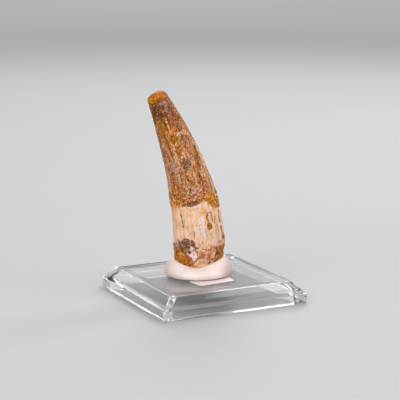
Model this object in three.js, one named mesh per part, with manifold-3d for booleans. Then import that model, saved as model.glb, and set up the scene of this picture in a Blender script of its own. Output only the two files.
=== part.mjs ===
// A fossil tooth pressed into a lump of soft putty on a square clear stand.
// Millimetres, +Z up, origin at the centre of the stand's underside.
import * as THREE from "three";
import { mergeVertices } from "three/addons/utils/BufferGeometryUtils.js";
import Module from "manifold-3d";

// Stand: a moulded shell with a bevelled rim, open below
const STAND_SIDE = 60;
const STAND_HEIGHT = 8.25;
const LIP_HEIGHT = 3.8;
const TOP_SIDE = 51.2;
const TOP_THICKNESS = 2.3;
const FOOT_WALL = 4.2;
const LIP_WALL = 4.6;
const TOP_WALL = 3.9;
const HOLLOW_SHOULDER = 2.8;

// Where the tooth stands on the plate, and how the plane of its curve is turned
const TOOTH_X = -1.8;
const TOOTH_Y = -0.6;
const TURN_DEG = -26;
const GAP = 0.3;

// Tooth centreline: upright at the root, then leaning over by a power law
const ROOT_Z = 1.5;
const TIP_Z = 68.6;
const LEAN_FROM = 14;
const LEAN_START = 0.2;
const LEAN_RATE = 0.0196;
const LEAN_POWER = 1.666;
const DEPTH_RATIO = 0.84;
// Height on the centreline and half width across it
const HALF_WIDTHS = [
  [1.5, 7.6],
  [5, 8.8],
  [9, 9.6],
  [13, 10.0],
  [18, 9.8],
  [25, 9.4],
  [33, 8.75],
  [42, 7.7],
  [50, 6.8],
  [58, 5.7],
  [64, 4.7],
  [68.6, 3.95],
];
const TIP_LENGTH = 2.9;
const TIP_BLUNTNESS = 2.3;

// Relief: flutes on the crown, its broken lower rim, the rough band and the cap
const FLUTES = 24;
const FLUTE_DEPTH = 0.3;
const CROWN_RIM = 0.15;
const BAND_HEIGHT = 6.5;
const BAND_ROUGHNESS = 0.22;
const ROOT_GROOVE = 0.16;
const CARINA = 0.12;
const CAP_FOOT = 68.0;
const CAP_STEP = 0.18;

// The crown's broken lower rim: degrees round from the right edge and height
const CROWN_FOOT = [
  [-180, 28.9],
  [-133, 29.3],
  [-90, 28.7],
  [-66, 29.5],
  [-56, 29.0],
  [-46, 26.9],
  [-36, 26.1],
  [-11, 25.9],
  [20, 26.8],
  [60, 28.6],
  [95, 29.4],
  [130, 28.3],
  [160, 29.2],
  [180, 28.9],
];

// Lumps and pits: degrees round from the right edge, height, half sizes, rise
const SPOTS = [
  { around: -108, z: 9.2, wide: 2.3, tall: 3.3, rise: -1.0 },
  { around: -122, z: 13.2, wide: 3.4, tall: 2.0, rise: -0.35 },
  { around: -60, z: 20.6, wide: 1.3, tall: 2.3, rise: -0.6 },
  { around: -5, z: 14.2, wide: 2.6, tall: 2.2, rise: 0.5 },
  { around: -10, z: 10.2, wide: 2.4, tall: 1.2, rise: -0.45 },
  { around: -33, z: 8.4, wide: 2.6, tall: 2.6, rise: 0.35 },
  { around: -52, z: 11.0, wide: 1.2, tall: 3.2, rise: 0.3 },
  { around: -82, z: 8.9, wide: 1.9, tall: 1.7, rise: 0.35 },
  { around: -142, z: 7.6, wide: 2.8, tall: 2.4, rise: 0.3 },
  { around: -176, z: 10.5, wide: 2.2, tall: 2.2, rise: -0.3 },
  { around: 150, z: 12.0, wide: 2.6, tall: 3.4, rise: 0.4 },
  { around: 118, z: 17.0, wide: 2.0, tall: 2.6, rise: -0.6 },
  { around: 85, z: 9.6, wide: 3.2, tall: 2.6, rise: 0.45 },
  { around: 52, z: 15.2, wide: 2.4, tall: 3.0, rise: -0.7 },
  { around: 25, z: 20.5, wide: 1.4, tall: 3.2, rise: -0.4 },
  { around: 64, z: 44.0, wide: 1.4, tall: 2.2, rise: -0.25 },
];

// Putty: a squashed round lump whose rim climbs the root, and a flat flap under it
const PUTTY_RADIUS = 13.25;
const PUTTY_FOOT_RADIUS = 12.1;
const PUTTY_EDGE_Z = 0.8;
const PUTTY_WAIST_Z = 2.2;
const PUTTY_CROWN_Z = 4;
const SHOULDER_POWER = 1.35;
const RIM_FRONT = 4.5;
const RIM_BACK = 6.4;
const RIM_RIGHT = 7.8;
const RIM_LEFT = 6.6;
const RIM_INSET = 0.6;
const FLAP_THICKNESS = 0.5;
const FLAP_CORNERS = [
  [-0.6, -17.7],
  [1.8, -18.0],
  [13.6, -10.9],
  [11.8, -4.5],
  [6.0, -1.0],
  [-4.5, -10.5],
];

// Mesh fineness
const TOOTH_AROUND = 48;
const TOOTH_STEP = 1.15;
const CAP_RINGS = 5;
const PUTTY_AROUND = 44;
const PUTTY_ARC = 6;

const wasm = await Module();
wasm.setup();

const radians = THREE.MathUtils.degToRad;

function material(color, roughness, extra = {}) {
  return new THREE.MeshStandardMaterial({ color, roughness, metalness: 0, ...extra });
}

// Smooth step from 0 to 1 between two values
function ease(value, from, to) {
  return THREE.MathUtils.smoothstep(value, from, to);
}

// A smooth curve through [position, value] pairs, read at one position
function through(pairs, position) {
  const last = pairs.length - 1;
  let i = 0;
  while (i < last - 1 && position > pairs[i + 1][0]) i += 1;
  const [x0, y0] = pairs[i];
  const [x1, y1] = pairs[i + 1];
  const slope = (a, b) => (pairs[b][1] - pairs[a][1]) / (pairs[b][0] - pairs[a][0]);
  const m0 = slope(Math.max(i - 1, 0), i + 1);
  const m1 = slope(i, Math.min(i + 2, last));
  const span = x1 - x0;
  const t = THREE.MathUtils.clamp((position - x0) / span, 0, 1);
  const t2 = t * t;
  const t3 = t2 * t;
  return (
    (2 * t3 - 3 * t2 + 1) * y0 +
    (t3 - 2 * t2 + t) * span * m0 +
    (3 * t2 - 2 * t3) * y1 +
    (t3 - t2) * span * m1
  );
}

// The centreline's sideways place at a height, and its unit direction
function centreline(z) {
  const over = Math.max(z - LEAN_FROM, 0);
  const x = LEAN_START - LEAN_RATE * over ** LEAN_POWER;
  const lean = -LEAN_RATE * LEAN_POWER * over ** (LEAN_POWER - 1);
  return { x, direction: new THREE.Vector2(lean, 1).normalize() };
}

// Shortest turn between two angles, in degrees
function turnBetween(a, b) {
  return ((((a - b) % 360) + 540) % 360) - 180;
}

// Unsteady ripple that never repeats round the tooth
function ripple(around, z) {
  const a = radians(around);
  return (
    Math.sin(5 * a + 0.9 * z) * Math.sin(2 * a - 1.3 * z + 1) +
    Math.sin(11 * a - 1.7 * z + 2) * Math.sin(4 * a + 2.1 * z)
  ) / 2;
}

// Height of the crown's lower rim at an angle round the tooth
function crownFoot(around) {
  return through(CROWN_FOOT, turnBetween(around, 0));
}

// Outward relief in millimetres at an angle round the tooth and a height
function relief(around, z) {
  const a = radians(around);
  const foot = crownFoot(around);
  const onCrown = ease(z, foot - 0.5, foot + 0.5);
  const inBand = onCrown * (1 - ease(z, foot + BAND_HEIGHT - 2, foot + BAND_HEIGHT + 1));
  const onRoot = 1 - onCrown;
  const phase = (FLUTES * (a + 0.05 * Math.sin(3 * a + 0.06 * z))) / (2 * Math.PI);
  const groove = Math.abs(2 * (phase - Math.floor(phase)) - 1);
  const fluted = onCrown * (1 - 0.7 * inBand) * (1 - ease(z, CAP_FOOT - 5, CAP_FOOT));
  let out = -FLUTE_DEPTH * fluted * groove;
  out += CROWN_RIM * onCrown * (1 - 0.6 * ease(z, foot + 2, foot + 16));
  out += BAND_ROUGHNESS * (inBand + 0.5 * onRoot * (1 - ease(z, 9, 15))) * ripple(around, z);
  out -= ROOT_GROOVE * onRoot * Math.max(Math.sin(9 * a + 0.12 * z), 0) * ease(z, 9, 15);
  out -= CAP_STEP * (1 - ease(Math.abs(z - CAP_FOOT), 0, 0.9));
  for (const edge of [0, 180]) {
    out += CARINA * onCrown * (1 - ease(Math.abs(turnBetween(around, edge)), 0, 12));
  }
  for (const spot of SPOTS) {
    const across = radians(turnBetween(around, spot.around)) * through(HALF_WIDTHS, spot.z);
    const far = Math.hypot(across / spot.wide, (z - spot.z) / spot.tall);
    out += spot.rise * (1 - ease(far, 0, 1.25));
  }
  return out;
}

// One ring of the tooth round a point of the centreline
function ring(z, onward, scale, swell) {
  const { x, direction } = centreline(z);
  const points = [];
  for (let i = 0; i < TOOTH_AROUND; i += 1) {
    const around = (360 * i) / TOOTH_AROUND;
    const a = radians(around);
    const radius = scale * (through(HALF_WIDTHS, z) + relief(around, z)) + swell;
    const side = radius * Math.cos(a);
    points.push(
      new THREE.Vector3(
        x + onward * direction.x + side * direction.y,
        radius * DEPTH_RATIO * Math.sin(a),
        z + onward * direction.y - side * direction.x,
      ),
    );
  }
  return points;
}

// The rings and end points of the tooth, grown outward by swell
function toothRings(swell) {
  const rings = [ring(ROOT_Z, -0.9 - swell, 0.72, 0)];
  const steps = Math.round((TIP_Z - ROOT_Z) / TOOTH_STEP);
  for (let i = 0; i <= steps; i += 1) {
    rings.push(ring(ROOT_Z + ((TIP_Z - ROOT_Z) * i) / steps, 0, 1, swell));
  }
  for (let i = 1; i <= CAP_RINGS; i += 1) {
    const t = Math.sin((Math.PI / 2) * (i / (CAP_RINGS + 1)));
    const scale = (1 - t ** TIP_BLUNTNESS) ** (1 / TIP_BLUNTNESS);
    rings.push(ring(TIP_Z, t * TIP_LENGTH, scale, swell));
  }
  return rings;
}

// A closed mesh geometry from a stack of equal rings, capped by one point at each end
function skin(rings, lowest, highest) {
  const around = rings[0].length;
  const points = [lowest, ...rings.flat(), highest];
  const top = points.length - 1;
  const faces = [];
  const at = (k, i) => 1 + k * around + (i % around);
  for (let i = 0; i < around; i += 1) {
    faces.push(0, at(0, i + 1), at(0, i));
    faces.push(top, at(rings.length - 1, i), at(rings.length - 1, i + 1));
  }
  for (let k = 0; k + 1 < rings.length; k += 1) {
    for (let i = 0; i < around; i += 1) {
      faces.push(at(k, i), at(k, i + 1), at(k + 1, i + 1));
      faces.push(at(k, i), at(k + 1, i + 1), at(k + 1, i));
    }
  }
  const geometry = new THREE.BufferGeometry().setFromPoints(points);
  geometry.setIndex(faces);
  geometry.computeVertexNormals();
  return geometry;
}

function toothGeometry(swell = 0) {
  const root = centreline(ROOT_Z);
  const tip = centreline(TIP_Z);
  const lowest = new THREE.Vector3(root.x, 0, ROOT_Z - 1.1 - swell);
  const reach = TIP_LENGTH + swell;
  const highest = new THREE.Vector3(
    tip.x + reach * tip.direction.x,
    0,
    TIP_Z + reach * tip.direction.y,
  );
  return skin(toothRings(swell), lowest, highest);
}

// Height of the putty's rim against the tooth at an angle round it
function rimHeight(a) {
  const side = Math.cos(a) > 0 ? RIM_RIGHT : RIM_LEFT;
  const face = Math.sin(a) > 0 ? RIM_BACK : RIM_FRONT;
  const c2 = Math.cos(a) ** 2;
  return side * c2 + face * (1 - c2);
}

// The outline of the putty at one angle, from its foot over the waist to the rim and inward
function puttyOutline(a) {
  const wobble = 1 + 0.012 * Math.sin(2 * a + 0.6) + 0.01 * Math.sin(3 * a + 2);
  const rim = rimHeight(a);
  const width = through(HALF_WIDTHS, rim);
  const rimRadius = RIM_INSET + width * Math.hypot(Math.cos(a), DEPTH_RATIO * Math.sin(a));
  const waist = PUTTY_RADIUS * wobble;
  const outline = [
    [PUTTY_FOOT_RADIUS * wobble, 0],
    [(PUTTY_FOOT_RADIUS * 0.3 + PUTTY_RADIUS * 0.7) * wobble, PUTTY_EDGE_Z],
  ];
  for (let i = 0; i <= PUTTY_ARC; i += 1) {
    const t = (Math.PI / 2) * (i / PUTTY_ARC);
    const inward = Math.max(Math.cos(t), 0) ** SHOULDER_POWER;
    const upward = Math.sin(t) ** SHOULDER_POWER;
    outline.push([
      rimRadius + (waist - rimRadius) * inward,
      PUTTY_WAIST_Z + (rim - PUTTY_WAIST_Z) * upward,
    ]);
  }
  outline.push([rimRadius * 0.7, (rim + PUTTY_CROWN_Z) / 2]);
  return outline;
}

function lumpGeometry() {
  const outlines = [];
  for (let i = 0; i < PUTTY_AROUND; i += 1) {
    const a = (2 * Math.PI * i) / PUTTY_AROUND;
    outlines.push({ a, points: puttyOutline(a) });
  }
  const rings = outlines[0].points.map((_, k) =>
    outlines.map(({ a, points }) => {
      const [r, z] = points[k];
      return new THREE.Vector3(r * Math.cos(a), r * Math.sin(a), z);
    }),
  );
  return skin(rings, new THREE.Vector3(0, 0, 0), new THREE.Vector3(0, 0, PUTTY_CROWN_Z));
}

function flapGeometry() {
  const outline = new THREE.Shape(FLAP_CORNERS.map(([x, y]) => new THREE.Vector2(x, y)));
  return new THREE.ExtrudeGeometry(outline, { depth: FLAP_THICKNESS, bevelEnabled: false });
}

// Conversions between geometries and solids that can be joined and cut
function solid(geometry) {
  const bare = geometry.clone();
  bare.deleteAttribute("normal");
  bare.deleteAttribute("uv");
  const merged = mergeVertices(bare, 1e-4);
  return new wasm.Manifold(
    new wasm.Mesh({
      numProp: 3,
      vertProperties: merged.attributes.position.array,
      triVerts: new Uint32Array(merged.index.array),
    }),
  );
}

function geometryOf(made) {
  const { vertProperties, triVerts } = made.getMesh();
  const geometry = new THREE.BufferGeometry();
  geometry.setAttribute("position", new THREE.BufferAttribute(vertProperties, 3));
  geometry.setIndex(new THREE.BufferAttribute(triVerts, 1));
  geometry.computeVertexNormals();
  return geometry;
}

// The lump and its flap as one body, with a pocket where the root stands
function puttyGeometry() {
  const lump = solid(lumpGeometry()).add(solid(flapGeometry()));
  return geometryOf(lump.subtract(solid(toothGeometry(GAP))));
}

// Square turned shape: four flat sides, sizes given as half sides
function standGeometry() {
  const half = STAND_SIDE / 2;
  const topHalf = TOP_SIDE / 2;
  const ceiling = STAND_HEIGHT - TOP_THICKNESS;
  const outline = [
    [0, ceiling],
    [topHalf - TOP_WALL, ceiling],
    [half - LIP_WALL, HOLLOW_SHOULDER],
    [half - FOOT_WALL, 0],
    [half, 0],
    [half, LIP_HEIGHT],
    [topHalf, STAND_HEIGHT],
    [0, STAND_HEIGHT],
  ];
  const points = outline.map(([side, z]) => new THREE.Vector2(side * Math.SQRT2, z));
  const geometry = new THREE.LatheGeometry(points, 4);
  geometry.rotateY(Math.PI / 4);
  geometry.rotateX(Math.PI / 2);
  return geometry;
}

function build() {
  const tooth = new THREE.Mesh(toothGeometry(), material(0x9a7146, 0.6));
  tooth.name = "tooth";
  const putty = new THREE.Mesh(puttyGeometry(), material(0xe6dcd2, 0.7));
  putty.name = "putty";
  const clear = { transparent: true, opacity: 0.3 };
  const stand = new THREE.Mesh(standGeometry(), material(0xf2f4f6, 0.05, clear));
  stand.name = "stand";

  const specimen = new THREE.Group();
  specimen.position.set(TOOTH_X, TOOTH_Y, STAND_HEIGHT);
  specimen.rotation.z = radians(TURN_DEG);
  specimen.add(tooth, putty);

  const whole = new THREE.Group();
  whole.add(specimen, stand);
  return whole;
}

export default build();
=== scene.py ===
# A fossil tooth in putty on a clear stand: fine meshes, materials, floor, light and camera.
import math
import random
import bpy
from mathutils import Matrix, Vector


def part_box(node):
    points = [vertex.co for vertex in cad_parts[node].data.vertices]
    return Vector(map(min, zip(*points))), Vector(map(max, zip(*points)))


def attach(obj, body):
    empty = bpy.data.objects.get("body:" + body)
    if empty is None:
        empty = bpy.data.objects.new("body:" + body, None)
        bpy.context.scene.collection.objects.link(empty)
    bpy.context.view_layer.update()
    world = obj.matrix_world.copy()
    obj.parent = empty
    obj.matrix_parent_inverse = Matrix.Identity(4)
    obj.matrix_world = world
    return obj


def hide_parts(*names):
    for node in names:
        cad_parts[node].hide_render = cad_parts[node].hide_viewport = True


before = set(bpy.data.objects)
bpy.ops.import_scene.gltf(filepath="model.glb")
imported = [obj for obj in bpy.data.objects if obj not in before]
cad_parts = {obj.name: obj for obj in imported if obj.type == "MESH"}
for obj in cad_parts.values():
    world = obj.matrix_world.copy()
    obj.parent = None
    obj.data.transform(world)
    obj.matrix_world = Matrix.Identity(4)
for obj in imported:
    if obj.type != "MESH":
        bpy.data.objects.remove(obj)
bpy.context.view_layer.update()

from types import SimpleNamespace

import bmesh
import bpy
import numpy as np
from mathutils import Matrix, Vector, noise

MM = 0.001

# The shared frame: the plate that the tooth stands on, and the stand's own sides
STAND_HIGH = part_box("stand")[1]
PLATE_Z = STAND_HIGH.z / MM
STAND_HALF = STAND_HIGH.x / MM
CORNERS = [(-1, -1), (1, -1), (1, 1), (-1, 1)]

# Stand sizes that the box doesn't give, in millimetres
LIP_HEIGHT = 3.8
TOP_HALF = 25.6
TOP_THICKNESS = 2.3
FOOT_WALL = 4.2
LIP_WALL = 4.6
TOP_WALL = 3.9
HOLLOW_SHOULDER = 2.8
EDGE_ROUND = 0.28

# Place and turn of the tooth and its putty on the plate
TOOTH_X = -1.8
TOOTH_Y = -0.6
TURN = math.radians(-26)

# Tooth form, in millimetres above the plate
ROOT_Z = 1.5
TIP_Z = 68.6
LEAN_FROM = 14
LEAN_START = 0.2
LEAN_RATE = 0.0196
LEAN_POWER = 1.666
DEPTH_RATIO = 0.84
HALF_WIDTHS = [
    (1.5, 7.6), (5, 8.8), (9, 9.6), (13, 10.0), (18, 9.8), (25, 9.4),
    (33, 8.75), (42, 7.7), (50, 6.8), (58, 5.7), (64, 4.7), (68.6, 3.95),
]
TIP_LENGTH = 2.9
TIP_BLUNTNESS = 2.3
FLUTES = 24
FLUTE_DEPTH = 0.3
# The crown's broken lower rim: degrees round from the right edge and height
CROWN_FOOT = [
    (-180, 28.9), (-133, 29.3), (-90, 28.7), (-66, 29.5), (-56, 29.0), (-46, 26.9), (-36, 26.1),
    (-11, 25.9), (20, 26.8), (60, 28.6), (95, 29.4), (130, 28.3), (160, 29.2), (180, 28.9),
]
CROWN_RIM = 0.15
BAND_HEIGHT = 6.5
BAND_ROUGHNESS = 0.22
ROOT_GROOVE = 0.16
CARINA = 0.12
CAP_FOOT = 68.0
CAP_STEP = 0.18
# Lumps and hollows: degrees round from the right edge, height, half width, half height and rise
SPOTS = [
    (-108, 9.2, 2.3, 3.3, -1.0), (-122, 13.2, 3.4, 2.0, -0.35), (-60, 20.6, 1.3, 2.3, -0.6),
    (-5, 14.2, 2.6, 2.2, 0.5), (-10, 10.2, 2.4, 1.2, -0.45), (-33, 8.4, 2.6, 2.6, 0.35),
    (-52, 11.0, 1.2, 3.2, 0.3), (-82, 8.9, 1.9, 1.7, 0.35), (-142, 7.6, 2.8, 2.4, 0.3),
    (-176, 10.5, 2.2, 2.2, -0.3), (150, 12.0, 2.6, 3.4, 0.4), (118, 17.0, 2.0, 2.6, -0.6),
    (85, 9.6, 3.2, 2.6, 0.45), (52, 15.2, 2.4, 3.0, -0.7), (25, 20.5, 1.4, 3.2, -0.4),
    (64, 44.0, 1.4, 2.2, -0.25),
]
# How far beyond its lowest ring the root's hidden end is closed
ROOT_END = -1.0

# Fine relief that the plain solid doesn't have: depths in millimetres
STREAK_DEPTH = 0.09
CROWN_GRAIN = 0.07
CAP_GRAIN = 0.03
BAND_CRUMB = 0.2
BAND_SWELL = 0.12
FOOT_CRUMB = 0.34
FOOT_SWELL = 0.3
ROOT_STREAK = 0.07
ROOT_GRAIN = 0.05
CRACK_DEPTH = 0.2
WHITE_RISE = 0.12
SUNK_MARKS = {"umber": 0.3, "plum": 0.15, "ash": 0.14}
# Heights between which the root's crumbly foot ends
CRUMBLY_FOOT = (11.5, 14.5)
# The cap leaves the right edge free, so many degrees to either side and up to this height
CAP_GAP = (26, 46)
CAP_GAP_TOP = 70.6
# Degrees from the right edge where the root's foot is fair, where the crown's colour spreads
# down over the root, and where the crown is palest
FAIR_SIDE = -76
SPREAD_SIDE = -158
PALE_SIDE = -35

# Putty form
PUTTY_RADIUS = 13.25
PUTTY_WAIST_Z = 2.2
PUTTY_CROWN_Z = 4.0
# The undercut below the waist: radius and height
PUTTY_FOOT = [(11.7, 0), (11.8, 0.45), (12.6, 0.7), (13.0, 1.0), (13.2, 1.55)]
RIM_FRONT = 4.5
RIM_BACK = 6.4
RIM_RIGHT = 7.8
RIM_LEFT = 6.6
RIM_INSET = 0.35
# The lump's mouth under the rim: share of the rim's radius, and depth
PUTTY_MOUTH = [(0.85, 0.5), (0.5, 1.5)]
SHOULDER_POWER = 1.35
# Waves of the hand-pressed surface, and the height over which they set in
BROAD_WAVE = 0.16
SMALL_WAVE = 0.05
WAVES_FROM = 1.2
FLAP_THICKNESS = 0.4
# The flap's softened edge: inset and height of each ring
FLAP_RINGS = [(0.1, 0), (0, 0.12), (0, FLAP_THICKNESS - 0.14), (0.14, FLAP_THICKNESS)]
FLAP_CORNERS = [(0.8, -18.6), (13.6, -10.9), (11.8, -4.5), (6.0, -1.0), (-4.5, -10.5)]
FLAP_ROUNDS = [1.3, 0.4, 1.0, 2.0, 3.0]
# The share of a side that a corner's arc may take, and the points of an arc
ARC_SHARE = 0.45
ARC_POINTS = 9

# Fineness of the visible meshes
TOOTH_AROUND = 250
TOOTH_RINGS = 350
CAP_RINGS = 24
PUTTY_AROUND = 160
SHOULDER_RINGS = 26
PUTTY_VOXEL = 0.19

# The photograph's camera
LENS = 120
SENSOR = 36
CAMERA_AT = (-223.2, -454.4, 134.3)
CAMERA_AIM = (-0.58, 0.28, 37.55)
CAMERA_ROLL = math.radians(-0.18)
# Width and height of the photograph in pixels
PICTURE = 400

# Light, in metres and watts
LAMP_AIM = (0, 0, 0.035)
FAR_FLOOR = (1.3, 2.8, 0)
SKY_COLOUR = (0.92, 0.95, 1.0, 1)
SKY_STRENGTH = 0.5
FLOOR_HALF = 4
FLOOR_DROP = 0.0001
# Light passes many walls inside the clear stand
CLEAR_BOUNCES = 160
GLOSSY_BOUNCES = 64


def ease(value, low, high):
    # From 0 at low to 1 at high, with soft ends
    t = np.clip((value - low) / (high - low), 0, 1)
    return t * t * (3 - 2 * t)


def through(pairs, position):
    # A smooth curve through (position, value) pairs, read at many positions
    x, y = np.array(pairs, float).T
    position = np.asarray(position, float)
    i = np.clip(np.searchsorted(x, position) - 1, 0, len(x) - 2)
    before = np.maximum(i - 1, 0)
    after = np.minimum(i + 2, len(x) - 1)
    m0 = (y[i + 1] - y[before]) / (x[i + 1] - x[before])
    m1 = (y[after] - y[i]) / (x[after] - x[i])
    span = x[i + 1] - x[i]
    t = np.clip((position - x[i]) / span, 0, 1)
    return (
        (2 * t**3 - 3 * t**2 + 1) * y[i]
        + (t**3 - 2 * t**2 + t) * span * m0
        + (3 * t**2 - 2 * t**3) * y[i + 1]
        + (t**3 - t**2) * span * m1
    )


def turn_between(a, b):
    return (a - b + 540) % 360 - 180


def near(around, middle, full, none):
    # 1 up to some degrees from a direction, and 0 beyond some more
    return 1 - ease(np.abs(turn_between(around, middle)), full, none)


def ripple(a, z):
    return (
        np.sin(5 * a + 0.9 * z) * np.sin(2 * a - 1.3 * z + 1)
        + np.sin(11 * a - 1.7 * z + 2) * np.sin(4 * a + 2.1 * z)
    ) / 2


def crown_foot(around):
    return through(CROWN_FOOT, turn_between(around, 0))


def relief(around, z):
    # The main relief in millimetres, the same as that of the plain solid
    a = np.radians(around)
    foot = crown_foot(around)
    crown = ease(z, foot - 0.5, foot + 0.5)
    band = crown * (1 - ease(z, foot + BAND_HEIGHT - 2, foot + BAND_HEIGHT + 1))
    root = 1 - crown
    phase = FLUTES * (a + 0.05 * np.sin(3 * a + 0.06 * z)) / (2 * math.pi)
    groove = np.abs(2 * (phase - np.floor(phase)) - 1)
    fluted = crown * (1 - 0.7 * band) * (1 - ease(z, CAP_FOOT - 5, CAP_FOOT))
    out = -FLUTE_DEPTH * fluted * groove
    out += CROWN_RIM * crown * (1 - 0.6 * ease(z, foot + 2, foot + 16))
    out += BAND_ROUGHNESS * (band + 0.5 * root * (1 - ease(z, 9, 15))) * ripple(a, z)
    out -= ROOT_GROOVE * root * np.maximum(np.sin(9 * a + 0.12 * z), 0) * ease(z, 9, 15)
    out -= CAP_STEP * (1 - ease(np.abs(z - CAP_FOOT), 0, 0.9))
    for edge in (0, 180):
        out += CARINA * crown * near(around, edge, 0, 12)
    for at, height, wide, tall, rise in SPOTS:
        across = np.radians(turn_between(around, at)) * through(HALF_WIDTHS, height)
        out += rise * (1 - ease(np.hypot(across / wide, (z - height) / tall), 0, 1.25))
    return out


def grain(points, size, seed, octaves=3):
    # Fractal noise between about -1 and 1, read at points in millimetres
    shift = Vector((seed * 17.3, seed * 5.1, seed * 9.7))
    places = (points / size).tolist()
    return np.array([noise.fractal(Vector(p) + shift, 1.0, 2.0, octaves) for p in places])


# The kinds of patch in the order they are laid over one another: dark and light tone, fineness
TONES = {
    "cream": ((226, 182, 150), (245, 211, 185), 0.8),
    "rust": ((138, 76, 28), (218, 144, 80), 1.4),
    "dark": ((56, 28, 10), (118, 68, 32), 1.5),
    "olive": ((88, 56, 14), (150, 98, 34), 1.4),
    "gold": ((140, 80, 18), (204, 134, 52), 1.3),
    "brick": ((104, 50, 24), (168, 98, 62), 1.4),
    "peach": ((182, 108, 66), (230, 168, 126), 1.3),
    "pale": ((206, 156, 122), (240, 204, 178), 1.4),
    "lilac": ((128, 88, 78), (210, 174, 164), 1.6),
    "slate": ((82, 60, 46), (146, 116, 96), 1.5),
    # Stains, and one wash that paints shade on the root
    "stain": ((216, 152, 100), (236, 190, 146), 1.0),
    "amber": ((190, 108, 12), (242, 166, 48), 1.3),
    "gravel": ((120, 68, 26), (220, 150, 74), 1.5),
    "plum": ((74, 48, 42), (150, 112, 102), 1.4),
    "salmon": ((188, 108, 76), (228, 164, 130), 1.4),
    # White: the root's pale chips, and painted highlights on the root
    "white": ((226, 196, 190), (253, 238, 233), 1.0),
    "umber": ((84, 42, 8), (144, 84, 26), 1.5),
    "ash": ((98, 76, 64), (148, 122, 106), 1.5),
    "ochre": ((122, 70, 12), (192, 122, 40), 1.2),
    "cap": ((146, 78, 18), (208, 136, 56), 0.7),
    "orange": ((196, 96, 8), (226, 126, 22), 1.0),
}
# The kinds whose pattern runs along the tooth
UPRIGHT = ("cream", "stain", "white")
# The kinds that fade into what lies round them
SOFT = ("stain", "lilac", "slate", "white", "peach")
# Coloured patches of the tooth: kind, degrees round from the right edge, height, half width,
# half height, strength and, where the patch leans, its lean in degrees
PATCHES = [
    # Tip and upper crown
    ("dark", -136, 65, 1.6, 4.2, 0.75), ("olive", -124, 62, 1.3, 2.4, 0.7),
    ("gold", -93, 54, 1.7, 2.6, 1), ("pale", -60, 55, 1.5, 0.8, 0.75),
    ("pale", -75, 47.2, 1.4, 1.2, 0.6), ("lilac", -50, 51.6, 0.7, 3, 0.5),
    ("gold", -90, 49.2, 1.7, 2.8, 0.9), ("slate", -82, 44.1, 1.9, 2.1, 0.8),
    ("dark", -82, 44.9, 1.2, 1.2, 0.75),
    # The cap's bright place
    ("orange", -62, 70, 1.5, 0.9, 0.9), ("gold", -122, 69.2, 1.2, 0.8, 0.5),
    # Pale edges and stripes of the crown
    ("peach", -13, 55, 1.5, 12, 0.8), ("pale", -12, 42, 1.3, 10, 0.75),
    ("lilac", -166, 54, 1.3, 8, 0.6), ("lilac", -165, 42, 1.2, 8, 0.65),
    ("peach", -74, 56, 0.45, 7, 0.6), ("brick", -64, 58, 0.4, 5, 0.6),
    ("pale", -55, 59.5, 0.35, 4, 0.5), ("brick", -48, 57, 0.4, 4, 0.6), ("peach", -42, 50, 0.5, 4, 0.6),
    ("brick", -24, 50, 0.4, 6, 0.5), ("peach", -20, 45, 0.6, 4, 0.5), ("brick", -52, 46, 0.3, 4, 0.5),
    ("peach", -135, 46, 1.2, 4, 0.5), ("brick", -140, 41, 0.8, 4, 0.45),
    # Rough band at the foot of the crown
    ("gold", -124, 35.3, 2.6, 2.4, 0.9), ("pale", -98, 33.9, 0.9, 1.7, 0.85),
    ("salmon", -56, 33.1, 2.6, 2.6, 0.5), ("plum", -91, 30.3, 2.2, 1.3, 0.55),
    ("lilac", -81, 33.7, 1, 1.5, 0.8), ("amber", -44, 30.3, 2, 1.5, 1),
    ("amber", -36, 28, 1, 2.4, 1, 8), ("umber", -37, 27.9, 0.3, 1.4, 1, 14),
    ("pale", -14, 33, 1.2, 5, 0.7),
    # Upper root
    # The second wash here paints shade down the root's left edge
    ("stain", -158, 30.2, 3, 1.3, 0.6), ("stain", -158, 21, 3, 7, 0.4),
    ("ash", -56, 24.9, 0.26, 1.1, 0.9, 75), ("ash", -51, 23, 0.26, 1.8, 0.75),
    # Lower root
    ("lilac", -135, 12.9, 1.7, 2.6, 0.75, 24), ("olive", -121, 14.3, 0.7, 0.8, 0.6),
    ("plum", -111, 13.7, 2.3, 2, 1, -16), ("plum", -125, 14.7, 1.7, 1.4, 0.75, 10),
    ("plum", -121, 13.5, 1.4, 1.3, 0.9), ("lilac", -105, 12, 0.8, 1, 0.6),
    ("white", -103, 8.9, 1.4, 1.7, 1, 12), ("white", -108, 11, 1.2, 1.9, 1, 14),
    ("white", -112, 10, 1, 1.7, 1, 14), ("ash", -113, 10.8, 0.6, 0.9, 1, 12),
    ("salmon", -82, 9.7, 1.3, 1.3, 1), ("ochre", -81, 9.9, 1, 1, 0.55),
    # Far side
    ("dark", 72, 63, 3, 4, 0.9), ("lilac", 108, 58, 1.6, 3.6, 0.7), ("gold", 84, 52, 2.6, 5, 0.9),
    ("slate", 114, 46, 1.4, 2.4, 0.8), ("peach", 70, 43, 2, 5, 0.7), ("lilac", 50, 40, 1.2, 4.4, 0.7),
    ("gold", 123, 39, 1.4, 3.4, 0.8), ("rust", 90, 32, 5.5, 3.4, 0.6),
    ("amber", 120, 30.4, 1.6, 2, 0.9), ("plum", 60, 30.6, 1.8, 1.2, 0.8),
    ("stain", 102, 23, 2.2, 3.4, 0.8), ("umber", 52, 15.2, 1.6, 2, 0.8), ("plum", 118, 17, 1.5, 2, 0.8),
    ("white", 78, 19, 1.2, 4.6, 0.7), ("rust", 90, 7, 6.5, 3, 0.85), ("gravel", 139, 9, 3, 4, 0.9),
    ("salmon", 60, 9.4, 1, 3, 0.8), ("ash", 75, 22, 0.16, 3, 0.7), ("ash", 95, 18, 0.16, 4, 0.7),
    ("ash", 130, 22, 0.16, 3, 0.6),
]
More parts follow.
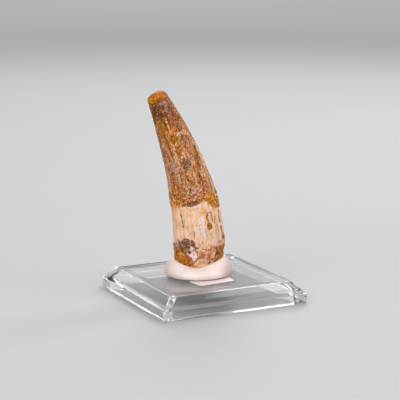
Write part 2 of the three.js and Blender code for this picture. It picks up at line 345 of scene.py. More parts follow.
# Marks placed in the photograph's own frame: kind, pixels from the left and from the top,
# half width and half height in pixels, strength and, where the mark leans, its lean in degrees
SEEN = [
    # Tip and upper crown
    ("lilac", 165, 102, 4, 3.2, 0.62), ("lilac", 155, 104.5, 2.6, 1.2, 0.5),
    ("lilac", 167, 108, 2, 4, 0.55), ("lilac", 170, 114, 1.4, 4, 0.5), ("dark", 154, 110, 3.2, 6, 0.75),
    ("dark", 160, 108, 3, 3, 0.5), ("dark", 159, 115, 4.5, 3, 0.65), ("dark", 163, 117, 3, 1.6, 0.7),
    ("dark", 170.5, 108, 2, 5, 0.85), ("brick", 175, 114, 1.6, 6, 0.7), ("dark", 178, 117, 1, 6, 0.6),
    ("brick", 164, 112, 2, 3, 0.5), ("pale", 166.5, 122, 1.4, 1.4, 0.5),
    ("peach", 164, 121, 5, 0.8, 0.5), ("gold", 160, 124, 3, 5, 0.85), ("gold", 164, 130, 3.4, 5, 0.8),
    ("dark", 166.5, 128, 1.4, 5.5, 0.6), ("peach", 171, 131, 3, 3, 0.65),
    ("olive", 178.5, 140, 1.4, 4, 0.9), ("olive", 166, 120, 2.4, 2.4, 0.5),
    ("olive", 161, 128, 3.6, 8, 0.48), ("lilac", 181, 130, 2, 2, 0.5), ("slate", 184, 139, 3, 5.6, 0.5),
    ("dark", 188, 138, 1, 6, 0.5), ("brick", 186, 127, 1.4, 6, 0.6), ("lilac", 190.5, 133, 1.8, 5, 0.6),
    ("slate", 187, 143, 1.2, 2, 0.7), ("peach", 187, 150, 3.5, 6, 0.8), ("gold", 197, 152.5, 1.8, 5, 1),
    ("gold", 199, 159, 1.2, 2.5, 0.8), ("brick", 193, 145, 1.2, 4, 0.5),
    ("pale", 183, 155, 0.8, 4, 0.6), ("pale", 181, 158.6, 3.2, 1.1, 0.55),
    ("pale", 174, 155, 0.7, 5, 0.45), ("slate", 162, 150, 1.6, 8, 0.45),
    ("lilac", 165.5, 152, 1.4, 6, 0.4), ("lilac", 174, 166, 2.8, 7.5, 1),
    ("lilac", 171, 160, 1, 5, 0.4), ("lilac", 177, 178, 2.2, 5, 0.95), ("pale", 173.5, 164, 1, 3, 0.4),
    ("peach", 193.5, 166, 2.4, 6, 0.95), ("brick", 190, 170, 0.7, 6, 0.5),
    ("slate", 199, 165, 1.1, 5, 0.8), ("slate", 196.8, 174, 0.9, 2.6, 0.7),
    ("pale", 203.4, 172.5, 1.8, 4, 0.7), ("gold", 203, 168, 1.6, 2.5, 0.6),
    ("brick", 196, 170, 0.6, 5, 0.4), ("gold", 192, 182, 1.9, 3.4, 0.95),
    ("brick", 201, 181, 4.5, 3, 0.55), ("lilac", 208, 182, 1.5, 5, 0.4),
    ("dark", 184, 172, 0.8, 5, 0.45), ("peach", 181, 172, 1.6, 6, 0.6),
    ("dark", 179.5, 176, 0.6, 5, 0.4), ("pale", 186, 177, 0.6, 5, 0.35),
    # Rough band at the foot of the crown
    ("rust", 176, 191, 5, 6.5, 0.85), ("gold", 173, 189, 3.5, 5, 0.75), ("dark", 180, 193, 1, 4, 0.5),
    ("gold", 182, 187, 2.4, 2.4, 0.6), ("gold", 190, 187, 3, 2, 0.6),
    ("peach", 187.6, 191.5, 1.9, 4, 0.85), ("umber", 190.7, 191, 0.35, 5.5, 0.9),
    ("lilac", 193.4, 193, 2.2, 3, 0.85), ("peach", 198, 189, 3.4, 3.4, 0.8),
    ("brick", 203, 192, 5, 5, 0.5), ("lilac", 203, 187, 3, 2.4, 0.4), ("dark", 197, 197, 3, 1.4, 0.5),
    ("amber", 177.5, 200.5, 3.6, 2.2, 0.5), ("gold", 181, 198.5, 4, 4, 0.75),
    ("brick", 175, 197, 2, 2, 0.6), ("plum", 192, 201.5, 5, 2.6, 0.5), ("dark", 195, 203, 3, 1.3, 0.6),
    ("brick", 191, 202.4, 6, 2.8, 0.9), ("amber", 212.6, 201.5, 2.2, 4.8, 1, 8),
    ("umber", 216, 203, 0.8, 3, 0.5), ("rust", 217.5, 199, 1.4, 4, 0.6),
    ("peach", 214.5, 193, 1, 4, 0.5),
    # Upper root
    ("stain", 174, 209.5, 4, 4, 0.95), ("amber", 173.5, 206, 3.4, 3.4, 0.55),
    # The two white marks just under the crown's foot paint a highlight on the pale lip there
    ("stain", 179, 208.5, 3, 1.6, 0.6), ("white", 196.8, 206.9, 3.4, 1.7, 1, 10),
    ("white", 204.5, 205, 3.4, 2.6, 0.5), ("stain", 202.6, 211.6, 3.6, 3, 0.9),
    ("stain", 206, 214.5, 2, 2.4, 0.6), ("ochre", 210.2, 226.2, 2.9, 3.6, 1),
    ("umber", 210.6, 227, 1.5, 1.8, 0.95), ("white", 209.4, 217.4, 1.2, 2.4, 0.5),
    # The white marks about 202 pixels from the left, from 217 to 241 down, paint an upright highlight
    # on the root
    ("stain", 217.6, 231, 1.6, 8, 0.7), ("white", 201.6, 221, 2.5, 4, 0.8),
    ("white", 202, 231, 2.9, 10, 0.95), ("lilac", 200.8, 219.8, 1.6, 0.9, 0.45),
    ("ash", 197.4, 237.4, 1.4, 1.4, 0.35), ("salmon", 196.6, 225.4, 1.7, 2.3, 0.45),
    ("salmon", 187.5, 224, 2.2, 3, 0.3), ("stain", 189, 209.8, 4, 1.4, 0.35),
    ("stain", 201, 244.6, 3, 2.4, 0.35), ("salmon", 204, 243, 1.6, 2, 0.35),
    ("white", 184, 218, 1.3, 1.8, 0.6), ("white", 190, 230, 1.5, 5, 0.35),
    ("white", 207, 232, 1.8, 4, 0.4), ("white", 215, 240, 2.2, 4.9, 0.8, -10),
    # Lower root
    ("white", 178.6, 240.4, 0.6, 1.6, 0.6), ("umber", 181.6, 242.4, 0.8, 0.9, 0.9),
    ("umber", 186.6, 245.8, 1.9, 3, 0.85, 12), ("lilac", 191.8, 244.8, 1.4, 2.6, 0.7, 14),
    ("plum", 183.6, 250, 4.2, 3.4, 0.75, -20), ("white", 195.8, 250.6, 0.7, 1.8, 0.7),
    ("lilac", 190.4, 256.6, 1.6, 1.3, 0.6), ("rust", 178.6, 256, 5, 8.4, 1),
    ("amber", 180, 254.2, 2.4, 3, 0.85), ("gold", 176.8, 258.4, 2, 3, 0.6),
    ("umber", 177, 252.2, 0.6, 0.6, 0.9), ("umber", 177.2, 254.6, 0.6, 0.6, 0.9),
    ("umber", 183, 256.6, 0.8, 1, 0.7), ("brick", 176, 260, 1.8, 1.8, 0.8),
    ("olive", 176.8, 262.2, 1.6, 0.8, 0.8), ("umber", 184.6, 261.6, 1.4, 1.2, 0.85),
    ("rust", 186.4, 263, 5, 3, 0.75), ("salmon", 190.8, 263.6, 3.2, 2.2, 0.95),
    ("umber", 189, 265.2, 1.2, 0.7, 0.8), ("umber", 194, 264.4, 0.7, 0.6, 0.5),
    ("white", 199, 250.8, 2, 1, 0.55), ("pale", 202, 259, 5.4, 6.6, 1),
    ("stain", 200.6, 262.8, 3.4, 2, 0.6), ("amber", 200.8, 254.8, 1.3, 1.6, 0.7),
    ("brick", 204.4, 256, 1.2, 2.8, 0.7), ("umber", 203.6, 258, 0.8, 1, 0.45),
    ("stain", 207.4, 253, 1.4, 2, 0.7), ("pale", 209.4, 247.4, 1.8, 3.4, 0.9),
    ("pale", 207.6, 262, 1.6, 1.6, 0.5), ("gravel", 220.4, 248, 2.2, 4.4, 1, -14),
    ("gravel", 217.2, 255.4, 3, 5, 1, -14), ("amber", 218, 248, 1.2, 1.8, 0.6, -14),
    ("umber", 212.2, 259.6, 1.2, 1, 0.9), ("umber", 217.4, 252.2, 1.3, 1.2, 0.9),
    ("umber", 220.6, 250, 1, 1.4, 0.7), ("amber", 216.6, 257, 1.3, 1.6, 0.6),
    ("umber", 210, 262.6, 2, 0.8, 0.8, 20), ("rust", 223.4, 236, 1.3, 3.4, 0.9),
    ("umber", 223, 236.6, 0.7, 2, 0.9), ("salmon", 221, 241.4, 1.2, 1.6, 0.8),
]
# Thin lines placed in the same way: kind, upper end, lower end, half width and strength
SEEN_LINES = [
    # Upper root
    ("ash", 199.5, 208.6, 194, 209, 0.5, 0.55), ("ochre", 207.6, 213.6, 206.9, 219.8, 1.1, 1),
    ("ochre", 207, 219, 209.6, 223.2, 0.7, 0.9), ("ash", 212, 208.5, 215.2, 213, 0.5, 0.7),
    ("amber", 218, 208.5, 219.2, 215, 0.7, 0.7), ("ash", 218.8, 214.5, 219.8, 222, 0.6, 0.95),
    ("ash", 220.6, 224.5, 222.2, 232, 0.7, 0.9), ("lilac", 203, 222, 203, 238, 1, 0.5),
    ("ash", 194.5, 231, 194.6, 240.5, 0.45, 0.75), ("ash", 211.5, 228, 211.6, 242.5, 0.4, 0.7),
    ("ash", 192, 217, 193, 223, 0.3, 0.35), ("ash", 179.4, 213, 181.6, 221, 0.5, 0.95),
    ("ash", 181.4, 220.5, 182.8, 228.5, 0.6, 0.95), ("ash", 176.4, 222, 177.6, 232, 0.5, 0.6),
    ("ash", 186.6, 225.5, 188.4, 231.5, 0.45, 0.7), ("ash", 190.4, 212.5, 190.5, 217.5, 0.4, 0.55),
    ("ash", 183.4, 207.5, 183.4, 212, 0.4, 0.5), ("ash", 174.6, 214, 175.4, 224, 0.4, 0.5),
    ("ash", 184.6, 232, 184.9, 237.5, 0.4, 0.55), ("ash", 202.3, 242, 202.5, 246, 0.4, 0.5),
    ("ash", 206.6, 233, 206.8, 240, 0.3, 0.4),
    # Lower root
    ("plum", 176.6, 237.6, 180.4, 246.6, 0.9, 1), ("plum", 175.2, 240, 177.6, 246, 0.6, 0.7),
    ("plum", 194.6, 243.5, 196.8, 254, 1.1, 1), ("plum", 196.6, 252, 197.2, 261, 0.7, 1),
    ("lilac", 196, 257, 190.6, 257.2, 0.4, 0.8), ("plum", 187.6, 256, 190.6, 261, 0.7, 0.95),
    ("plum", 190, 260.8, 196.6, 261.6, 0.8, 0.95), ("umber", 196, 248.4, 203, 249, 0.4, 0.95),
    ("slate", 202.4, 249.4, 208.8, 249.8, 0.6, 0.9), ("salmon", 213.8, 243.6, 211.6, 253, 2.4, 1),
    ("brick", 214.4, 246.6, 213.6, 251, 0.5, 0.7), ("salmon", 211.4, 252, 207.6, 261.6, 2.3, 1),
    ("brick", 209, 253, 208.6, 256, 0.5, 0.85), ("brick", 207, 257.6, 206.4, 260.6, 0.5, 0.8),
]
# Millimetres, but for the limit on widening what is seen slantwise
THINNEST = 0.16
STEEPEST = 0.45
LINE_OVERRUN = 0.15
# Millimetres between the heights at which the facing side is searched
SEARCH_STEP = 0.2
# Small marks strewn over the far side: count, kinds, heights, half widths, half heights, strengths
SCATTER = [
    (70, ["dark", "gold", "brick", "lilac", "peach", "pale", "slate", "olive"],
     (31, 66), (0.4, 1.6), (1.0, 4.0), (0.4, 0.85)),
    (26, ["ash", "ash", "ash", "ochre"], (14, 27.5), (0.16, 0.3), (0.8, 3.2), (0.6, 1.0)),
    (20, ["white", "stain", "lilac", "salmon", "white"], (13, 28), (0.6, 1.8), (0.8, 4.0), (0.5, 1.0)),
    (30, ["plum", "salmon", "pale", "gold", "umber", "brick", "white", "umber"],
     (5, 14), (0.4, 1.8), (0.4, 1.7), (0.7, 1.0)),
]
SCATTER_SEED = 5
SCATTER_AROUND = (5, 175)
SCATTER_LEAN = (-8, 8)
# How far noise moves a patch, in millimetres, and how much it frays its edge
PATCH_SWAY = 0.45
PATCH_FRAY = 0.3


def camera_place():
    # Where the camera stands and how it is turned
    at = Vector(CAMERA_AT) * MM
    aim = Vector(CAMERA_AIM) * MM
    turn = (aim - at).to_track_quat("-Z", "Y").to_matrix().to_4x4()
    return Matrix.Translation(at) @ turn @ Matrix.Rotation(CAMERA_ROLL, 4, "Z")


def in_picture(points):
    # Where points of the shared frame lie in the photograph, in its pixels
    view = np.array(camera_place().inverted())
    seen = points @ view[:3, :3].T + view[:3, 3]
    zoom = PICTURE * LENS / SENSOR / -seen[:, 2]
    return np.stack([PICTURE / 2 + zoom * seen[:, 0], PICTURE / 2 - zoom * seen[:, 1]], 1)


def placed(points):
    # Millimetres in the tooth's own frame to metres in the shared frame
    cosine, sine = math.cos(TURN), math.sin(TURN)
    x = cosine * points[..., 0] - sine * points[..., 1] + TOOTH_X
    y = sine * points[..., 0] + cosine * points[..., 1] + TOOTH_Y
    return np.stack([x, y, points[..., 2] + PLATE_Z], -1) * MM


def bent(around, z, onward, radius):
    # Points of the tooth at a radius from its curved middle line
    a = np.radians(around)
    over = np.maximum(z - LEAN_FROM, 0)
    x = LEAN_START - LEAN_RATE * over**LEAN_POWER
    lean = -LEAN_RATE * LEAN_POWER * over ** (LEAN_POWER - 1)
    length = np.hypot(lean, 1)
    dx, dz = lean / length, 1 / length
    side = radius * np.cos(a)
    depth = radius * DEPTH_RATIO * np.sin(a)
    return np.stack([x + onward * dx + side * dz, depth, z + onward * dz - side * dx], -1)


def facing_side():
    # The plain tooth's points that face the camera: angle, height and place in the photograph
    heights = np.arange(ROOT_Z, TIP_Z + SEARCH_STEP / 2, SEARCH_STEP)
    around, z = np.meshgrid(np.arange(-180, 180.0), heights, indexing="ij")
    points = placed(bent(around, z, 0, through(HALF_WIDTHS, z)))
    outward = np.cross(np.gradient(points, axis=0), np.gradient(points, axis=1))
    seen = ((np.array(CAMERA_AT) * MM - points) * outward).sum(-1) > 0
    return around[seen], z[seen], in_picture(points[seen])


def seen_patches():
    # The marks and lines seen in the photograph, as patches of the tooth
    around, z, picture = facing_side()
    # Millimetres of the object that a pixel covers
    pixel = math.dist(CAMERA_AT, CAMERA_AIM) * SENSOR / LENS / PICTURE

    def find(*place):
        nearest = np.hypot(*(picture - place).T).argmin()
        return around[nearest], z[nearest]

    def across(wide, at):
        # A width seen slantwise is wider on the tooth
        return max(wide * pixel / max(abs(math.sin(math.radians(at))), STEEPEST), THINNEST)

    patches = []
    for kind, left, down, wide, tall, amount, *lean in SEEN:
        at, height = find(left, down)
        patches.append((kind, at, height, across(wide, at), tall * pixel, amount, *lean))
    for kind, left, down, right, under, wide, amount in SEEN_LINES:
        (at0, high), (at1, low) = find(left, down), find(right, under)
        at, height = find((left + right) / 2, (down + under) / 2)
        run = math.radians(at0 - at1) * through(HALF_WIDTHS, (high + low) / 2)
        lean = math.degrees(math.atan2(-run, high - low))
        wide = across(wide, at) if abs(lean) < 45 else max(wide * pixel, THINNEST)
        tall = math.hypot(run, high - low) / 2 + LINE_OVERRUN
        patches.append((kind, at, height, wide, tall, amount, lean))
    return patches


def all_patches():
    # The placed patches and the scattered ones
    draw = random.Random(SCATTER_SEED)
    patches = PATCHES + seen_patches()
    for count, kinds, *ranges in SCATTER:
        for _ in range(count):
            height, wide, tall, amount = (draw.uniform(*limits) for limits in ranges)
            lean = draw.uniform(*SCATTER_LEAN)
            kind = draw.choice(kinds)
            at = draw.uniform(*SCATTER_AROUND)
            patches.append((kind, at, height, wide, tall, amount, lean))
    return patches


def patch_masks(around, height, straight, coarse, fine):
    # How much of each kind of colour lies at each point of the tooth
    sway = PATCH_SWAY * grain(straight, size=2.6, seed=5, octaves=2)
    bob = PATCH_SWAY * grain(straight, size=2.6, seed=6, octaves=2)
    masks = {kind: np.zeros(len(height)) for kind in TONES}
    for kind, at, middle, wide, tall, amount, *lean in all_patches():
        across = np.radians(turn_between(around, at)) * through(HALF_WIDTHS, middle) + sway
        along = height - middle + bob
        turned = math.radians(sum(lean))
        cosine, sine = math.cos(turned), math.sin(turned)
        over = (cosine * across + sine * along) / wide
        up = (cosine * along - sine * across) / tall
        far = np.hypot(over, up) + PATCH_FRAY * (coarse + fine) * min(1, wide)
        soft = 0.3 if wide > 0.5 else 0.5
        masks[kind] = np.maximum(masks[kind], amount * (1 - ease(far, 1 - soft, 1 + soft)))
    return masks


def tooth_fields():
    # Angles and heights of every point, and the rings that close the tip
    body = np.linspace(ROOT_Z, TIP_Z, TOOTH_RINGS)
    t = np.sin(np.linspace(0, math.pi / 2, CAP_RINGS + 2)[1:-1])
    onward = np.concatenate([np.zeros(TOOTH_RINGS), t * TIP_LENGTH])
    scale = np.concatenate([np.ones(TOOTH_RINGS), (1 - t**TIP_BLUNTNESS) ** (1 / TIP_BLUNTNESS)])
    level = np.concatenate([body, np.full(CAP_RINGS, TIP_Z)])
    around = np.arange(TOOTH_AROUND) * 360 / TOOTH_AROUND
    z, angle = (values.ravel() for values in np.meshgrid(level, around, indexing="ij"))
    return z, angle, np.repeat(onward, TOOTH_AROUND), np.repeat(scale, TOOTH_AROUND)


def tooth_areas(around, z, height, straight, masks, coarse, fine):
    # How much of each area of the tooth lies at each point, and the noise that roughens them
    foot = crown_foot(around) + 0.45 * coarse + 0.25 * fine
    crown = ease(z, foot - 0.25, foot + 0.25)
    band = crown * (1 - ease(z + 1.5 * coarse, foot + BAND_HEIGHT - 2, foot + BAND_HEIGHT + 2))
    low = (1 - crown) * (1 - ease(z + 2 * coarse, *CRUMBLY_FOOT))
    low = np.maximum(low, np.maximum(masks["rust"] * (1 - crown), masks["gravel"]))
    gap = 1 - ease(np.abs(turn_between(around, 0)) + 8 * coarse, *CAP_GAP)
    cap = ease(height, CAP_FOOT - 0.1, CAP_FOOT + 0.3) * (1 - gap * (height < CAP_GAP_TOP))
    split = grain(straight * np.array([1, 1, 0.08]), size=2.6, seed=12)
    crack = ease(1 - np.abs(split), 0.96, 0.995) * (1 - crown) * ease(coarse, -0.1, 0.4)
    return SimpleNamespace(
        crown=crown, band=band, low=low, root=(1 - crown) * (1 - low), cap=cap, crack=crack,
        coarse=coarse, fine=fine, crumb=grain(straight, size=0.9, seed=13, octaves=4),
        streak=grain(straight * np.array([1, 1, 0.1]), size=0.8, seed=11),
    )


def fine_relief(area, masks):
    # Small relief for the eye: streaks, grain, cracks and crumbly matrix
    out = STREAK_DEPTH * area.crown * (1 - area.band) * (1 - area.cap) * area.streak
    out += CROWN_GRAIN * area.crown * (1 - area.cap) * area.fine
    out += area.band * (BAND_CRUMB * area.crumb + BAND_SWELL * area.coarse)
    out += area.low * (FOOT_CRUMB * area.crumb + FOOT_SWELL * area.coarse)
    out += area.root * (ROOT_STREAK * area.streak + ROOT_GRAIN * area.fine)
    out -= CRACK_DEPTH * area.crack
    out += WHITE_RISE * masks["white"] * (1 - area.crown)
    for kind, depth in SUNK_MARKS.items():
        out -= depth * masks[kind]
    return out + CAP_GRAIN * area.cap * area.fine


def add_area_colours(masks, area, around, z, height):
    # The values that the fossil's material reads, beside those of the patches
    fair = near(around, FAIR_SIDE, 18, 30)
    spread = 0.2 + 1.6 * near(around, SPREAD_SIDE, 12, 48)
    foot = crown_foot(around) + 0.35 * area.coarse
    pale = (1 - ease(z, foot - spread, foot + 0.2)) * (1 - area.low)
    masks["cream"] = np.maximum(masks["cream"], pale + (0.35 + 0.6 * fair) * area.low)
    fade = area.root * ease(spread, 0.3, 0.9) * (1 - pale)
    masks["stain"] = np.maximum(masks["stain"], fade)
    rusty = np.maximum(0.75 * area.band, (0.7 - 0.5 * fair) * area.low)
    masks["rust"] = np.maximum(masks["rust"], rusty)
    masks["band"] = area.band * (1 - masks["amber"])
    quiet = np.maximum(0.5 * masks["slate"], 0.7 * masks["lilac"] * (z < 50))
    masks["calm"] = np.maximum(area.cap, quiet)
    masks["cap"] = area.cap
    angle = np.radians(around)
    drawn_out = np.stack([9 * np.cos(angle), 9 * np.sin(angle), height * 0.05], 1)
    masks["stripe"] = 0.5 + 0.9 * grain(drawn_out, size=0.75, seed=31)
    side = 0.5 + 0.5 * np.cos(np.radians(around - PALE_SIDE))
    masks["lift"] = 0.09 * (1 - ease(height, 50, 64)) * ease(height, 30, 38) * (0.1 + 0.9 * side)
    masks["lift"] -= 0.08 * ease(height, 52, 64)
    pitted = 0.7 * area.band + (1 - 0.55 * fair) * area.low
    hollow = ease(-area.crumb, -0.1, 0.5) * pitted + area.crack
    grooved = 0.6 * ease(-area.streak, 0.05, 0.5) * area.crown * (1 - area.band)
    hollow = np.maximum(hollow, grooved) * (1 - 0.8 * masks["amber"])
    cap_line = 1 - ease(np.abs(height - CAP_FOOT), 0.05, 0.35)
    masks["hollow"] = np.maximum(hollow, cap_line)
    masks["crown"] = area.crown


def grid_faces(rings, around):
    # Faces of a closed stack of rings; the two points that close its ends come last
    i = np.arange(around)
    j = (i + 1) % around
    quads = []
    for k in range(rings - 1):
        a, b = k * around, (k + 1) * around
        quads.append(np.stack([a + i, a + j, b + j, b + i], 1))
    end = rings * around
    top = end - around
    ends = [[end, int(q), int(p)] for p, q in zip(i, j)]
    ends += [[end + 1, int(top + p), int(top + q)] for p, q in zip(i, j)]
    return np.concatenate(quads).tolist() + ends


def add_object(name, data):
    made = bpy.data.objects.new(name, data)
    bpy.context.scene.collection.objects.link(made)
    return made


def new_piece(name, points, faces):
    mesh = bpy.data.meshes.new(name)
    mesh.from_pydata(np.asarray(points).tolist(), [], faces)
    mesh.update()
    mesh.polygons.foreach_set("use_smooth", [True] * len(mesh.polygons))
    return add_object(name, mesh)


def write_attribute(mesh, name, values):
    layer = mesh.attributes.new(name, "FLOAT", "POINT")
    layer.data.foreach_set("value", np.asarray(values, np.float32))


def write_colours(mesh, masks, straight):
    # Values of every point; the last two points close the root and the tip
    for name, values in masks.items():
        at_tip = 1 if name in ("cap", "crown", "calm") else 0
        write_attribute(mesh, name, np.append(values, (0, at_tip)))
    layer = mesh.attributes.new("straight", "FLOAT_VECTOR", "POINT")
    ends = np.array([[0, 0, ROOT_Z], [0, 0, TIP_Z + TIP_LENGTH]])
    layer.data.foreach_set("vector", np.append(straight, ends).astype(np.float32))


def make_tooth():
    z, around, onward, scale = tooth_fields()
    height = z + onward
    angle = np.radians(around)
    width = through(HALF_WIDTHS, z)
    wide = scale * width
    straight = np.stack([wide * np.cos(angle), wide * DEPTH_RATIO * np.sin(angle), height], 1)
    coarse = grain(straight, size=1.6, seed=3)
    fine = grain(straight, size=0.45, seed=4, octaves=2)
    masks = patch_masks(around, height, straight, coarse, fine)
    area = tooth_areas(around, z, height, straight, masks, coarse, fine)
    radius = scale * (width + relief(around, z) + fine_relief(area, masks))
    points = bent(around, z, onward, radius)
    ends = bent(0, np.array([ROOT_Z, TIP_Z]), np.array([ROOT_END, TIP_LENGTH]), np.zeros(2))
    faces = grid_faces(TOOTH_RINGS + CAP_RINGS, TOOTH_AROUND)
    piece = new_piece("tooth_fine", placed(np.concatenate([points, ends])), faces)
    add_area_colours(masks, area, around, z, height)
    write_colours(piece.data, masks, straight)
    return piece


# Putty
def rim_height(a):
    side = np.where(np.cos(a) > 0, RIM_RIGHT, RIM_LEFT)
    face = np.where(np.sin(a) > 0, RIM_BACK, RIM_FRONT)
    return side * np.cos(a) ** 2 + face * np.sin(a) ** 2


def lump_points():
    a = np.arange(PUTTY_AROUND) * 2 * math.pi / PUTTY_AROUND
    wobble = 1 + 0.012 * np.sin(2 * a + 0.6) + 0.01 * np.sin(3 * a + 2)
    rim = rim_height(a)
    width = through(HALF_WIDTHS, rim)
    rim_radius = RIM_INSET + width * np.hypot(np.cos(a), DEPTH_RATIO * np.sin(a))
    waist = PUTTY_RADIUS * wobble
    levels = [(radius * wobble, np.full_like(a, z)) for radius, z in PUTTY_FOOT]
    for t in np.linspace(0, math.pi / 2, SHOULDER_RINGS):
        r = rim_radius + (waist - rim_radius) * max(math.cos(t), 0) ** SHOULDER_POWER
        rise = math.sin(t) ** SHOULDER_POWER
        levels.append((r, PUTTY_WAIST_Z + (rim - PUTTY_WAIST_Z) * rise))
    levels += [(rim_radius * share, rim - depth) for share, depth in PUTTY_MOUTH]
    rings = [np.stack([r * np.cos(a), r * np.sin(a), z], 1) for r, z in levels]
    return np.concatenate(rings), len(levels)


def apply_modifiers(piece):
    # Give the piece the mesh that its modifiers make
    deps = bpy.context.evaluated_depsgraph_get()
    mesh = bpy.data.meshes.new_from_object(piece.evaluated_get(deps))
    piece.modifiers.clear()
    old = piece.data
    piece.data = mesh
    mesh.name = piece.name
    bpy.data.meshes.remove(old)


def rounded(corners, radius):
    # The outline with each corner turned into a small arc
    outline = []
    count = len(corners)
    for i in range(count):
        before, at, after = (Vector(corners[(i + k) % count]) for k in (-1, 0, 1))
        shorter = min((at - before).length, (after - at).length)
        reach = min(radius[i], shorter * ARC_SHARE)
        start = at + (before - at).normalized() * reach
        end = at + (after - at).normalized() * reach
        for t in np.linspace(0, 1, ARC_POINTS).tolist():
            outline.append((1 - t) ** 2 * start + 2 * t * (1 - t) * at + t**2 * end)
    return outline


def flap_points():
    # A thin flat sheet with softened edges: rings of points from the plate up
    outline = rounded(FLAP_CORNERS, FLAP_ROUNDS)
    centre = sum(outline, Vector((0, 0))) / len(outline)
    rings = []
    for inset, z in FLAP_RINGS:
        for point in outline:
            away = point - centre
            held = centre + away * (1 - inset / away.length)
            rings.append((held.x, held.y, z))
    return np.array(rings), len(outline)


def add_sheet(mesh, points, around):
    # The sheet's faces, added to a mesh as a part of its own
    shape = bmesh.new()
    shape.from_mesh(mesh)
    made = [shape.verts.new(tuple(p)) for p in points]
    for k in range(len(points) // around - 1):
        for i in range(around):
            j = (i + 1) % around
            a, b = k * around, (k + 1) * around
            shape.faces.new((made[a + i], made[a + j], made[b + j], made[b + i])).smooth = True
    shape.faces.new(made[:around][::-1])
    shape.faces.new(made[-around:])
    shape.to_mesh(mesh)
    shape.free()


def press(mesh):
    # Small waves pushed along the normals; returns where the points lie, in millimetres
    places = np.empty(len(mesh.vertices) * 3, np.float32)
    normals = places.copy()
    mesh.vertices.foreach_get("co", places)
    mesh.vertex_normals.foreach_get("vector", normals)
    places = places.reshape(-1, 3) / MM
    push = BROAD_WAVE * grain(places, size=5.0, seed=21, octaves=2)
    push += SMALL_WAVE * grain(places, size=1.5, seed=22, octaves=2)
    push *= np.clip((places[:, 2] - PLATE_Z) / WAVES_FROM, 0, 1)
    places += normals.reshape(-1, 3) * push[:, None]
    places[:, 2] = np.maximum(places[:, 2], PLATE_Z)
    mesh.vertices.foreach_set("co", (places * MM).astype(np.float32).ravel())
    return places


def make_putty():
    points, levels = lump_points()
    ends = np.array([[0, 0, 0], [0, 0, PUTTY_CROWN_Z]])
    faces = grid_faces(levels, PUTTY_AROUND)
    piece = new_piece("putty_fine", placed(np.concatenate([points, ends])), faces)
    remesh = piece.modifiers.new("voxels", "REMESH")
    remesh.mode = "VOXEL"
    remesh.voxel_size = PUTTY_VOXEL * MM
    remesh.use_smooth_shade = True
    smooth = piece.modifiers.new("smooth", "SMOOTH")
    smooth.iterations = 3
    smooth.factor = 0.5
    apply_modifiers(piece)
    mesh = piece.data
    places = press(mesh)
    # Painted shade: the lump's lowest part, where it meets the plate and the flap, is coloured darker
    under = 1 - ease(places[:, 2] - PLATE_Z, 0.5, 0.95)
    sideways = math.cos(TURN) * (places[:, 0] - TOOTH_X) + math.sin(TURN) * (places[:, 1] - TOOTH_Y)
    across = sideways / PUTTY_RADIUS
    # Painted shade: the lump's sides are coloured darker, its right side more than its left
    flank_shade = ease(np.abs(across), 0.5, 0.95) * np.where(across > 0, 1, 0.75)
    sheet, around = flap_points()
    add_sheet(mesh, placed(sheet), around)
    mesh.update()
    blank = np.zeros(len(sheet))
    write_attribute(mesh, "painted_crevice_shade", np.append(under, blank))
    write_attribute(mesh, "flank_shade", np.append(flank_shade, blank))
    write_attribute(mesh, "flap", np.append(0 * flank_shade, blank + 1))
    return piece


# Stand
def square(mesh, half, z):
    return [mesh.verts.new((x * half * MM, y * half * MM, z * MM)) for x, y in CORNERS]


def make_stand():
    profile = [
        (TOP_HALF - TOP_WALL, PLATE_Z - TOP_THICKNESS), (STAND_HALF - LIP_WALL, HOLLOW_SHOULDER),
        (STAND_HALF - FOOT_WALL, 0), (STAND_HALF, 0), (STAND_HALF, LIP_HEIGHT), (TOP_HALF, PLATE_Z),
    ]
    shell = bmesh.new()
    rings = [square(shell, half, z) for half, z in profile]
    for a, b in zip(rings, rings[1:]):
        for i in range(4):
            shell.faces.new((a[i], a[(i + 1) % 4], b[(i + 1) % 4], b[i]))
    shell.faces.new(rings[0][::-1])
    shell.faces.new(rings[-1])
    bmesh.ops.recalc_face_normals(shell, faces=shell.faces)
    bmesh.ops.bevel(
        shell, geom=list(shell.edges), offset=EDGE_ROUND * MM, segments=3, profile=0.5,
        affect="EDGES", clamp_overlap=True,
    )
    mesh = bpy.data.meshes.new("clear_stand")
    shell.to_mesh(mesh)
    shell.free()
    mesh.polygons.foreach_set("use_smooth", [True] * len(mesh.polygons))
    piece = add_object("clear_stand", mesh)
    piece.modifiers.new("normals", "WEIGHTED_NORMAL").keep_sharp = True
    return piece


# Material nodes
def linear(*rgb):
    # A screen colour, 0 to 255, as the linear one that Blender takes
    return tuple(((c / 255 + 0.055) / 1.055) ** 2.4 if c > 10 else c / 255 / 12.92 for c in rgb) + (1,)


